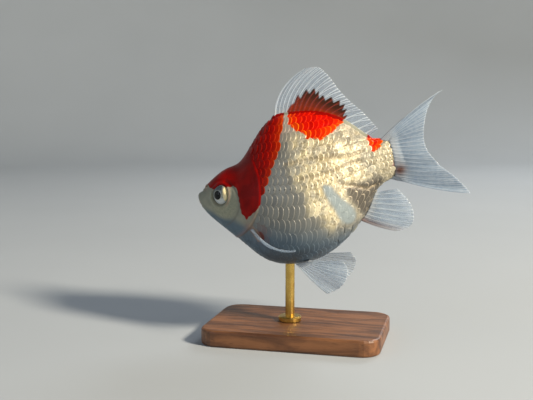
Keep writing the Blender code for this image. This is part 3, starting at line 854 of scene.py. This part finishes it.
def make_fin(name, root, tip, bows, rays, steps, side=1.0, root_thick=0.9, ripple=0.25,
             notch=0.012, crowd=0.0, spine=0.0, veil=0.35, fleshy=0.16, swell=0.0,
             strength=1.0, red=None, tint=None):
    """Closed fin with raised rays, a thin notched edge and a thicker root.

    The middle sheet is start + (end - start) v + bow v (1 - v), with start on the root
    line and end on the tip line.  crowd draws the rays together towards the first edge,
    fleshy is the share of its length over which the root thins, swell is how much thinner
    the root is at its two ends, and strength is how plainly the rays are marked.
    """
    across = rays * PER_RAY + 1
    w = np.linspace(0.0, 1.0, across)
    spread = w + crowd * w * (w - 1.0)
    v = np.linspace(0.0, 1.0, steps)[:, None]
    start = spline(root, spread * (len(root) - 1.0))
    end = spline(tip, spread * (len(tip) - 1.0))
    bow = np.outer(1.0 - w, bows[0]) + np.outer(w, bows[1])
    jag = rng.normal(0.0, 0.006, rays + 1)
    share = (w * rays) % 1.0
    ragged = np.interp(w * rays, np.arange(rays + 1), jag)
    reach = 1.0 - notch * np.abs(np.cos(np.pi * share)) ** 3 + ragged * (w > 0.04) * (w < 0.97)
    out = v * reach[None]
    sheet = start[None] + (end - start)[None] * out[..., None]
    sheet = sheet + bow[None] * (out * (1.0 - out))[..., None]
    facing = normals(sheet)
    wave = np.sin(2.0 * np.pi * (w * rays / 5.3 + 0.4))[None] * out ** 1.5
    wave = wave + 0.5 * np.sin(2.0 * np.pi * (w * rays / 2.9 + 0.1))[None] * out ** 2
    sheet = sheet + (ripple * wave)[..., None] * facing
    crest = bump(branches(share[None], out), 0.17 - 0.10 * smooth(out, 0.0, 0.8))
    if spine:
        crest = np.maximum(crest, bump(w[None] * rays, 0.45))
    body = 0.30 - 0.14 * out + ((root_thick * (1.0 - swell * (2.0 * w - 1.0) ** 4) - 0.16)[None]
                                * (1.0 - smooth(out, 0.0, fleshy)))
    thick = body + crest * (0.30 - 0.20 * out) + spine * bump(w[None] * rays, 0.5) * (1 - 0.7 * out)
    edge = np.minimum(np.minimum(w, 1.0 - w) * rays * 3.0, 1.0)[None]
    thick = np.maximum(thick * (0.35 + 0.65 * np.sqrt(edge)), 0.10)
    thick *= 1.0 - 0.6 * smooth(v, 0.97, 1.0)
    grids = [sheet + half * thick[..., None] * facing for half in (0.5, -0.5)]
    points = np.concatenate([g.reshape(-1, 3) for g in grids]) * np.array([1.0, side, 1.0])
    quads, flat = closed_sheet(steps, across)
    values = {"ray": strength * crest, "veil": veil, "out": out,
              "flesh": 1.0 - smooth(out, 0.0, 1.3 * fleshy),
              "red": red(sheet, w[None], out) if red else 0.0,
              "tint": tint(sheet, w[None], out) if tint else 0.0}
    both = np.ones((2,) + crest.shape)
    build(f"{name}_rays", placed(points), quads, {"OFBake": flat},
          {key: both * value for key, value in values.items()}, (name,))


DORSAL_RED = np.array([
    (45.0, 25.0), (46.1, 28.6), (48.6, 31.0), (51.6, 33.2), (55.6, 35.0), (59.8, 35.4),
    (61.2, 31.6), (64.2, 30.4), (67.9, 28.8), (70.9, 25.6), (69.6, 18.0), (58.0, 20.0)])


def dorsal_red(sheet, w, out):
    """Red of the dorsal fin: an outline whose edge runs out further behind each ray."""
    saw = (w * DORSAL_RAYS) % 1.0
    inside = patch(sheet[..., 0], sheet[..., 2], DORSAL_RED)
    return smooth(inside + 2.1 * (0.5 - saw) * smooth(out, 0.05, 0.3), -0.25, 0.35)


def tail_bruise(sheet, *_):
    """Maroon blush of the tail's fleshy root, low on the stalk's end."""
    return bump(np.hypot(sheet[..., 0] - 88.4, sheet[..., 2] + 4.4), 2.3)


def anal_stain(_, w, out):
    """Brown stain along the anal fin's lower rays, fading outwards."""
    return 0.8 * (1.0 - smooth(w, 0.05, 0.30)) * (1.0 - 0.6 * out)


def edge_line(x, aside, lift, belly=False):
    """Points along the back's or the belly's middle line, raised and moved aside."""
    section = section_of(np.asarray(x, float))
    level = section[:, 2 if belly else 1] + lift
    return np.stack([section[:, 0], aside + 0.0 * level, level], 1)


def on_flank(places):
    """Points 0.1 mm off the left flank at x, z."""
    x, z = np.array(places, float).T
    return np.stack([x, -flank(x, z) - 0.1, z], 1)


def make_fins():
    make_fin("dorsal_fin", edge_line(np.linspace(40.2, 78.0, 9), 0.0, 0.05), np.array([
        (57.0, 0.0, 44.6), (61.2, 0.3, 44.4), (64.9, 0.6, 42.1), (67.9, 0.8, 36.6),
        (70.9, 0.6, 30.8), (74.5, 0.2, 25.8), (77.8, -0.2, 21.6), (80.6, -0.4, 17.0),
        (82.5, -0.3, 13.7)]), ((-11.6, 0.0, 7.6), (0.0, 0.0, 0.0)), DORSAL_RAYS, 76,
        root_thick=1.3, ripple=0.35, crowd=0.30, spine=0.9, veil=0.26, strength=0.75,
        red=dorsal_red)
    tail_root = np.vstack([
        edge_line([82.4, 84.8, 86.4], -0.9, -0.6), [(86.9, -2.2, 4.5), (87.0, -2.4, -0.4)],
        edge_line([86.2, 84.0], -0.9, 0.6, belly=True)])
    tail_tip = np.array([
        (110.9, -3.6, 24.5), (105.6, -4.4, 20.7), (102.3, -5.2, 15.9), (100.3, -6.0, 10.7),
        (99.3, -6.8, 5.4), (100.2, -7.6, 0.4), (103.0, -8.6, -4.8), (106.9, -9.6, -9.4),
        (110.6, -10.6, -14.4), (113.0, -11.4, -18.7)])
    pectoral_root = on_flank([(25.4, -16.4), (26.6, -18.4), (27.6, -20.6)])
    pectoral_tip = np.array([(44.8, -27.0, -27.0), (43.6, -24.6, -27.6),
                             (41.0, -22.6, -27.4), (37.6, -20.8, -26.4)])
    pelvic_root = on_flank([(39.0, -35.2), (42.0, -35.0), (45.0, -34.4)])
    pelvic_tip = np.array([(50.5, -11.6, -49.0), (55.6, -12.6, -47.6), (59.6, -12.8, -44.2),
                           (61.0, -12.2, -40.4), (59.6, -11.0, -36.8)])
    anal_root = edge_line(np.linspace(68.6, 76.6, 5), -1.3, 0.2, belly=True)
    anal_tip = np.array([(82.0, -3.4, -29.2), (87.6, -4.0, -28.2), (90.0, -4.2, -23.8),
                         (89.0, -4.0, -17.8), (85.6, -3.4, -12.4)])
    for name, side in (("left", 1.0), ("right", -1.0)):
        make_fin(f"tail_fin_{name}", tail_root, tail_tip, ((0.0, -2.0, 3.6), (0.0, -2.0, -5.6)),
                 22, 80, side, root_thick=2.8, ripple=0.30, spine=0.35, veil=0.70,
                 fleshy=0.26, strength=0.65, swell=0.65, tint=tail_bruise)
        make_fin(f"anal_fin_{name}", anal_root, anal_tip, ((1.0, 0.0, -2.6), (0.0, 0.0, 0.0)),
                 8, 48, side, root_thick=1.2, spine=0.6, strength=0.75, tint=anal_stain)
        make_fin(f"pectoral_fin_{name}", pectoral_root, pectoral_tip,
                 ((-2.0, -5.0, -12.0), (-2.0, -2.0, -6.0)), 14, 56, side, root_thick=0.8,
                 ripple=0.2, strength=0.45, veil=0.3)
        make_fin(f"pelvic_fin_{name}", pelvic_root, pelvic_tip,
                 ((-1.0, -1.0, -2.0), (0.0, 0.0, 0.0)), 9, 56, side, root_thick=1.3,
                 spine=0.6, strength=0.75)


# ---- the eyes

TURNED = 96                    # points round an eye
BALL, DOME = 4.66, 4.80        # radii of the eyeball and of the cornea over it
PUPIL, CORNEA_RIM = 1.88, 4.2


def turned(name, profile, side, marks, replaces=()):
    """Closed piece turned round the line of sight from a profile of radius and height.

    The profile starts and ends on the axis, and its marks hold one value a profile point.
    """
    turn = np.linspace(0.0, 2.0 * np.pi, TURNED, endpoint=False)
    back = unit(np.cross(LOOK, [0.0, 0.0, 1.0]))
    back = back if back[0] > 0.0 else -back
    up = unit(np.cross(back, LOOK))
    up = up if up[2] > 0.0 else -up
    rings = profile[:, 0, None, None] * (
        np.cos(turn)[None, :, None] * back + np.sin(turn)[None, :, None] * up)
    points = EYE_CENTRE + rings + profile[:, 1, None, None] * LOOK
    inner = len(profile) - 2
    everything = np.vstack([points[0, 0], points[1:-1].reshape(-1, 3), points[-1, 0]])
    quads, corners = closed_rings(inner, TURNED)
    tables = {key: np.concatenate([value[:1], np.repeat(value[1:-1], TURNED), value[-1:]])
              for key, value in marks.items()}
    for key, wheel in (("rear", np.cos(turn)), ("high", np.sin(turn))):
        tables[key] = np.concatenate([[0.0], np.tile(wheel, inner), [0.0]])
    build(name, placed(everything * np.array([1.0, side, 1.0])), quads,
          {"Turned": corners[..., ::-1]}, tables, replaces)


def make_eyes():
    """Eyeball with a domed iris and raised lens, under a clear cornea."""
    fall = np.linspace(np.pi, math.asin(PUPIL / BALL), 60)
    profile = np.stack([BALL * np.sin(fall), BALL * np.cos(fall)], 1)
    edge = profile[-1]
    t = 0.5 * np.pi * np.linspace(0.0, 1.0, 16)[1:]
    lens = np.stack([edge[0] * np.cos(t), edge[1] + (4.68 - edge[1]) * np.sin(t)], 1)
    profile = np.vstack([profile, [(PUPIL - 0.05, edge[1] - 0.06)], lens])
    profile[0, 0] = profile[-1, 0] = 0.0
    shell = np.linspace(math.asin(CORNEA_RIM / DOME), 0.0, 28)
    outer = np.stack([DOME * np.sin(shell), DOME * np.cos(shell)], 1)
    clear = np.vstack([outer[::-1] * (DOME - 0.08) / DOME, outer])
    for name, side in (("left", 1.0), ("right", -1.0)):
        turned(f"eyeball_{name}", profile, side, {"rho": profile[:, 0]}, (f"eye_{name}",))
        turned(f"cornea_{name}", clear, side, {"outside": np.repeat([0.0, 1.0], len(shell))})


# ---- finishes

def wet_skin():
    """Living fish skin under a film of slime: soft colour and a low wet sheen."""
    material, tree, shader = new_material("wet_fish_skin")
    red, crease, cheek, under, pink, flesh, bruise = read(
        tree, "red crease cheek under pink flesh bruise")
    broad, fine, speck = noise(tree, 5.0), noise(tree, 0.8, 3.0), noise(tree, 0.35, 1.0)
    # The head's white skin and olive cheek are dim greys: the white darkened as painted shade.
    white = mixed(ramp(broad, 0.3, 0.7), "#83867A", "#929385")
    # Painted bluish shade under the head.
    white = stained(white, under, 0.85, "#4E6576")
    olive = mixed(ramp(fine, 0.3, 0.7), "#8B8D7A", "#9B9C88")
    white = stained(white, cheek, 0.85, olive)
    white = mixed(flesh, white, "#AEB6BE")
    white = mixed(pink, white, "#A8705E")
    white = stained(white, bruise, 0.9, "#54302C")
    # The head's reds are dark, as painted shade, with brighter flecks.
    deep = mixed(ramp(broad, 0.35, 0.65), "#760200", "#8C0500")
    deep = mixed(ramp(speck, 0.62, 0.72, 0.0, 0.2), deep, "#B02008")
    red = ramp(red, -0.16, 0.16)
    # Painted shade in the creases, grey-brown on white and near black on red.
    shade = mixed(red, "#6A6258", "#4A0603")
    feed(shader, {
        "Base Color": stained(mixed(red, white, deep), crease, 0.75, shade),
        "Roughness": ramp(fine, 0.3, 0.7, 0.32, 0.45), "Specular IOR Level": 0.12,
        "Subsurface Weight": 0.08, "Subsurface Radius": (0.0012, 0.0006, 0.0004),
        "Normal": bumpy(fine, 0.35, 0.1)})
    return material


def pearly_scales():
    """Guanine-backed scales: grey silver centres, pale raised rims, thin red pigment.

    Behind they are a crumpled silver under a painted warm sunlit sheen, with painted glints
    and shade in its crinkles, and the red's border scales are orange.
    """
    material, tree, shader = new_material("pearly_scales")
    red, border, bright, tone, line, along, across = read(
        tree, "red border bright tone line along across")
    warm, cool, blue, dull, fold, rough, pale, pink = read(
        tree, "warm cool blue dull fold rough pale pink")
    broad, fine, crinkle = noise(tree, 5.0), noise(tree, 0.6, 2.0), noise(tree, 1.0, 3.0)
    rim = ramp(along, 0.84, 0.97)
    # The white scales' greys are the white darkened as painted shade; the pale mark adds painted
    # light along the top of the back.
    white = mixed(rim, mixed(tone, "#7C7D79", "#8E8F89"), "#908F89")
    white = stained(white, pale, 0.7, "#C8B9AE")
    # Painted sunlit sheen: gold centres that vary in brightness from scale to scale on the crumpled
    # rear as painted glints, pale rims, and the share where the sheen shows.
    centre = mixed(tone, "#E4D5A8", "#F2E6C2")
    centre = mixed(rough, centre, mixed(tone, "#B4A684", "#F0E3C0"))
    gold = mixed(rim, centre, "#F2E8C8")
    glint = times(warm, ramp(broad, 0.32, 0.60, 0.35, 1.0))
    white = mixed(glint, white, gold)
    # Painted glints and shade in the sheen's crinkles, painted bluish shade on the belly, the
    # painted shadow on the left flank, painted shade over the hollow and in the folds, and the pink
    # of the pectoral's base.
    for share, strength, stain in (
            (warm, ramp(crinkle, 0.56, 0.70, 0.0, 0.55), "#FFF8E4"),
            (warm, ramp(crinkle, 0.46, 0.34, 0.0, 0.65), "#7E7056"),
            (cool, 0.85, "#566C7E"), (blue, 0.85, "#98A5A9"),
            (dull, 0.75, mixed(rim, "#5E564C", "#A89C88")),
            (fold, 0.65, "#7A6E58"), (pink, 0.9, "#7A382A")):
        white = stained(white, share, strength, stain)
    # Reds dark under painted shade ahead and bright under painted sunlight behind; the border scales
    # are orange.
    heart = mixed(bright, mixed(tone, "#780200", "#8C0400"),
                  mixed(tone, "#B80500", "#D40C00"))
    heart = stained(heart, border, 0.6, mixed(bright, "#9C1C04", "#E44A06"))
    fire = mixed(border, mixed(bright, "#8A0600", "#E42A00"),
                 mixed(bright, "#A63000", "#F88A08"))
    red = ramp(red, -0.14, 0.14)
    colour = mixed(red, white, stained(heart, rim, 0.7, fire))
    reach = times(maths("SUBTRACT", along, 0.82), 14.0)
    wide = times(across, 15.0)
    pore = maths("ADD", times(reach, reach), times(wide, wide))
    colour = stained(colour, ramp(pore, 0.4, 1.4, 0.9, 0.0), line, "#2E2820")
    silver = times(ramp(red, 0.0, 1.0, 0.42, 0.0),
                   ramp(blue, 0.0, 1.0, 1.0, 0.3))
    # Less metal under the painted sheen, so that it shows brighter.
    silver = times(silver, ramp(warm, 0.0, 1.0, 1.0, 0.5))
    rings = times(maths("SINE", times(along, 46.0)), 0.10)
    height = maths("ADD", rings, fine)
    height = maths("ADD", height, times(crinkle, times(rough, 3.0)))
    feed(shader, {
        "Base Color": colour, "Metallic": silver, "Specular IOR Level": 0.10,
        "Roughness": ramp(fine, 0.3, 0.7, 0.30, 0.46),
        "Normal": bumpy(height, 0.6, 0.12)})
    return material


def fin_membrane():
    """Thin wet membrane between bony rays: see-through skin, paler and denser rays."""
    material, tree, shader = new_material("fin_membrane_and_rays")
    ray, out, red, veil, flesh, tint = read(tree, "ray out red veil flesh tint")
    fine = noise(tree, 1.4, 2.0)
    sheet = mixed(ramp(fine, 0.3, 0.7), "#9AAEC4", "#AEBFD0")
    colour = mixed(ramp(ray, 0.15, 0.8, 0.0, 0.65), sheet, "#DDE4E9")
    colour = stained(colour, flesh, 0.8, "#A9AEB4")
    colour = mixed(tint, colour, "#6B4436")
    burnt = mixed(ramp(out, 0.08, 0.5), "#7C2606", "#3A1C08")
    burnt = mixed(ramp(ray, 0.3, 0.95), burnt, "#962806")
    colour = mixed(red, colour, burnt)
    joints = ramp(maths("SINE", times(out, 190.0)), 0.75, 1.0)
    colour = stained(colour, times(joints, ray), 0.30, "#8D99A5")
    shown = times(ramp(ray, 0.05, 0.75), maths("SUBTRACT", 0.85, veil))
    shown = maths("ADD", veil, shown)
    shown = maths("MAXIMUM", maths("MAXIMUM", shown, flesh), times(red, 0.97))
    feed(shader, {
        "Base Color": colour, "Alpha": shown, "Roughness": 0.3, "Specular IOR Level": 0.3,
        "Coat Weight": 0.12, "Coat Roughness": 0.1, "Normal": bumpy(fine, 0.3, 0.08)})
    return material


def iris():
    """Silvery iris with grey flecks and a gold rear, round a black pupil."""
    material, tree, shader = new_material("silver_iris")
    rho, rear, high = read(tree, "rho rear high")
    place = add("ShaderNodeUVMap", {}, tree, uv_map="Turned").outputs[0]
    streak = streaks(place, (60.0, 9.0, 1.0))
    silver = mixed(ramp(streak, 0.35, 0.65), "#7E8688", "#B4B8B4")
    silver = stained(silver, ramp(high, -0.3, -0.9), 0.75, "#E2E8EA")
    silver = mixed(ramp(high, 0.2, 1.0, 0.0, 0.6), silver, "#727C80")
    silver = mixed(ramp(times(rho, rear), 2.35, 2.85), silver, "#F6E9BE")
    silver = mixed(ramp(rho, 2.3, 2.05, 0.0, 0.7), silver, "#D5D3C4")
    silver = mixed(ramp(rho, 4.0, 4.35), silver, "#6A5C40")
    feed(shader, {
        "Base Color": mixed(ramp(rho, 1.96, PUPIL), silver, "#040404"),
        "Metallic": ramp(rho, PUPIL, 2.03, 0.0, 0.25), "Roughness": 0.28,
        "Specular IOR Level": 0.2})
    return material


def clear_cornea():
    """Clear wet cornea: mirrors as Fresnel's law says and lets the rest through."""
    material, tree, shader = new_material("clear_cornea")
    mirror = add("ShaderNodeFresnel", {"IOR": 1.25}, tree).outputs[0]
    feed(shader, {"Alpha": times(mirror, read(tree, "outside")[0]),
                        "Base Color": "#FFFFFF", "Metallic": 1.0, "Roughness": 0.03})
    return material


def oiled_walnut():
    """Oiled walnut, planed: dark growth lines along the board and short open pores."""
    material, tree, shader = new_material("oiled_walnut")
    place = objectwise(tree)
    grain = streaks(place, (1.0, 7.0, 5.0), 36.0, 5.0, (0.0, 0.03, 0.05), 0.6)
    pores = streaks(place, (1.0, 16.0, 16.0), 210.0)
    colour = mixed(ramp(grain, 0.32, 0.68), "#4A2C18", "#855836")
    feed(shader, {
        "Base Color": mixed(ramp(pores, 0.60, 0.72, 0.0, 0.6), colour, "#2C180C"),
        "Roughness": ramp(pores, 0.4, 0.7, 0.38, 0.55),
        "Normal": bumpy(pores, 0.25, 0.1, invert=True)})
    return material


def satin_brass():
    """Turned brass, satin: fine rings from the lathe and a few dull fingered places."""
    material, tree, shader = new_material("satin_brass")
    rings, dull = streaks(objectwise(tree), (60.0, 60.0, 2600.0)), noise(tree, 6.0, 3.0)
    feed(shader, {
        "Base Color": mixed(ramp(dull, 0.35, 0.7), "#D9B562", "#B8924A"),
        "Metallic": 1.0, "Roughness": ramp(dull, 0.3, 0.7, 0.22, 0.4),
        "Normal": bumpy(rings, 0.15, 0.05)})
    return material


def studio_paper():
    """Matt seamless paper in a pale cool grey."""
    material, tree, shader = new_material("matt_studio_paper")
    feed(shader, {"Base Color": mixed(noise(tree, 180.0), "#A4ACB4", "#ACB4BC"),
                        "Roughness": 0.85})
    return material


# ---- the studio

def make_floor():
    """Round paper sweep: flat to 1.1 m, then up on a quarter circle of 0.5 m."""
    bend = np.linspace(0.0, 0.5 * np.pi, 16)[1:]
    radius = np.concatenate([np.linspace(0.0, 1.1, 12)[1:], 1.1 + 0.5 * np.sin(bend), [1.6]])
    height = np.concatenate([np.zeros(11), 0.5 - 0.5 * np.cos(bend), [1.0]])
    turn = np.linspace(0.0, 2.0 * np.pi, 96, endpoint=False)
    points = np.stack([np.outer(radius, np.cos(turn)), np.outer(radius, np.sin(turn)),
                       np.outer(height, np.ones(96))], -1).reshape(-1, 3)
    middle = len(points)
    disc = [(middle, (k + 1) % 96, k) for k in range(96)]
    mesh = bpy.data.meshes.new("paper_sweep")
    mesh.from_pydata(np.vstack([points, [[0.0, 0.0, 0.0]]]).tolist(), [],
                     disc + grid_quads(len(radius), 96, wrap=True)[0][:, ::-1].tolist())
    mesh.validate()
    mesh.shade_smooth()
    floor = bpy.data.objects.new("paper_sweep", mesh)
    bpy.context.scene.collection.objects.link(floor)
    mesh.materials.append(studio_paper())


def lamp(name, place, size, power, colour):
    """Round area light at a place in metres, aimed at the fish."""
    data = bpy.data.lights.new(name, "AREA")
    data.shape, data.size, data.energy = "DISK", size, power
    data.color = linear(colour)[:3]
    item = bpy.data.objects.new(name, data)
    item.location = place
    aim = Vector((0.0, 0.0, 0.06)) - Vector(place)
    item.rotation_euler = aim.to_track_quat("-Z", "Y").to_euler()
    bpy.context.scene.collection.objects.link(item)


def make_lights():
    lamp("key", (1.19, -0.43, 0.88), 0.26, 42.0, "#FFF0D8")
    lamp("fill", (-0.90, -0.90, 0.55), 0.8, 1.8, "#DCE8FF")
    lamp("back", (0.30, 1.0, 0.80), 0.6, 5.0, "#FFFFFF")
    world = bpy.data.worlds.new("studio")
    world.use_nodes = True
    feed(world.node_tree.nodes["Background"], {0: "#DDE6EE", 1: 0.17})
    bpy.context.scene.world = world
    bpy.context.scene.view_settings.view_transform = "Standard"


def make_camera():
    """Camera 0.36 m off, 14 degrees towards the tail and 6.5 degrees up."""
    azimuth, tilt, distance = math.radians(14.0), math.radians(6.5), 360.0
    left, down = 15.53, 8.085        # sets the fish right of and above the view's middle
    back = Vector((math.sin(azimuth) * math.cos(tilt), -math.cos(azimuth) * math.cos(tilt),
                   math.sin(tilt)))
    right = Vector((math.cos(azimuth), math.sin(azimuth), 0.0))
    up = back.cross(right)
    place = Vector((43.0, 0.0, 6.0 - FLOOR)) + back * distance - right * left - up * down
    place = place * MM + Vector((SHIFT, 0.0, 0.0))
    data = bpy.data.cameras.new("camera")
    data.sensor_width, data.lens = 36.0, 36.0 * 846.0 / 533.0
    data.clip_start, data.clip_end = 0.01, 20.0
    item = bpy.data.objects.new("camera", data)
    bpy.context.scene.collection.objects.link(item)
    item.matrix_world = Matrix.Translation(place) @ Matrix((right, up, back)).transposed().to_4x4()
    bpy.context.scene.camera = item


def dress(word, material):
    """Gives the material to every piece whose name holds the word."""
    for item in bpy.data.objects:
        if word in item.name and item.type == "MESH":
            item.data.materials.append(material)


make_skin()
make_scales("scales_left", flank_place, flank_centres())
make_scales("scales_right", flank_place, flank_centres(), side=-1.0)
for edge_name, top in (("back", True), ("belly", False)):
    make_scales(f"scales_{edge_name}", *ridge_centres(top), lift=0.12, pores=False)
make_fins()
make_eyes()
dress("skin", wet_skin())
dress("scales_", pearly_scales())
dress("_rays", fin_membrane())
dress("eyeball_", iris())
dress("cornea_", clear_cornea())
for node, finish in (("stand_base", oiled_walnut()), ("stand_rod", satin_brass())):
    slots = frame["nodes"][node].material_slots
    for one in slots:
        one.link = "OBJECT"
        one.material = finish
make_floor()
make_lights()
make_camera()
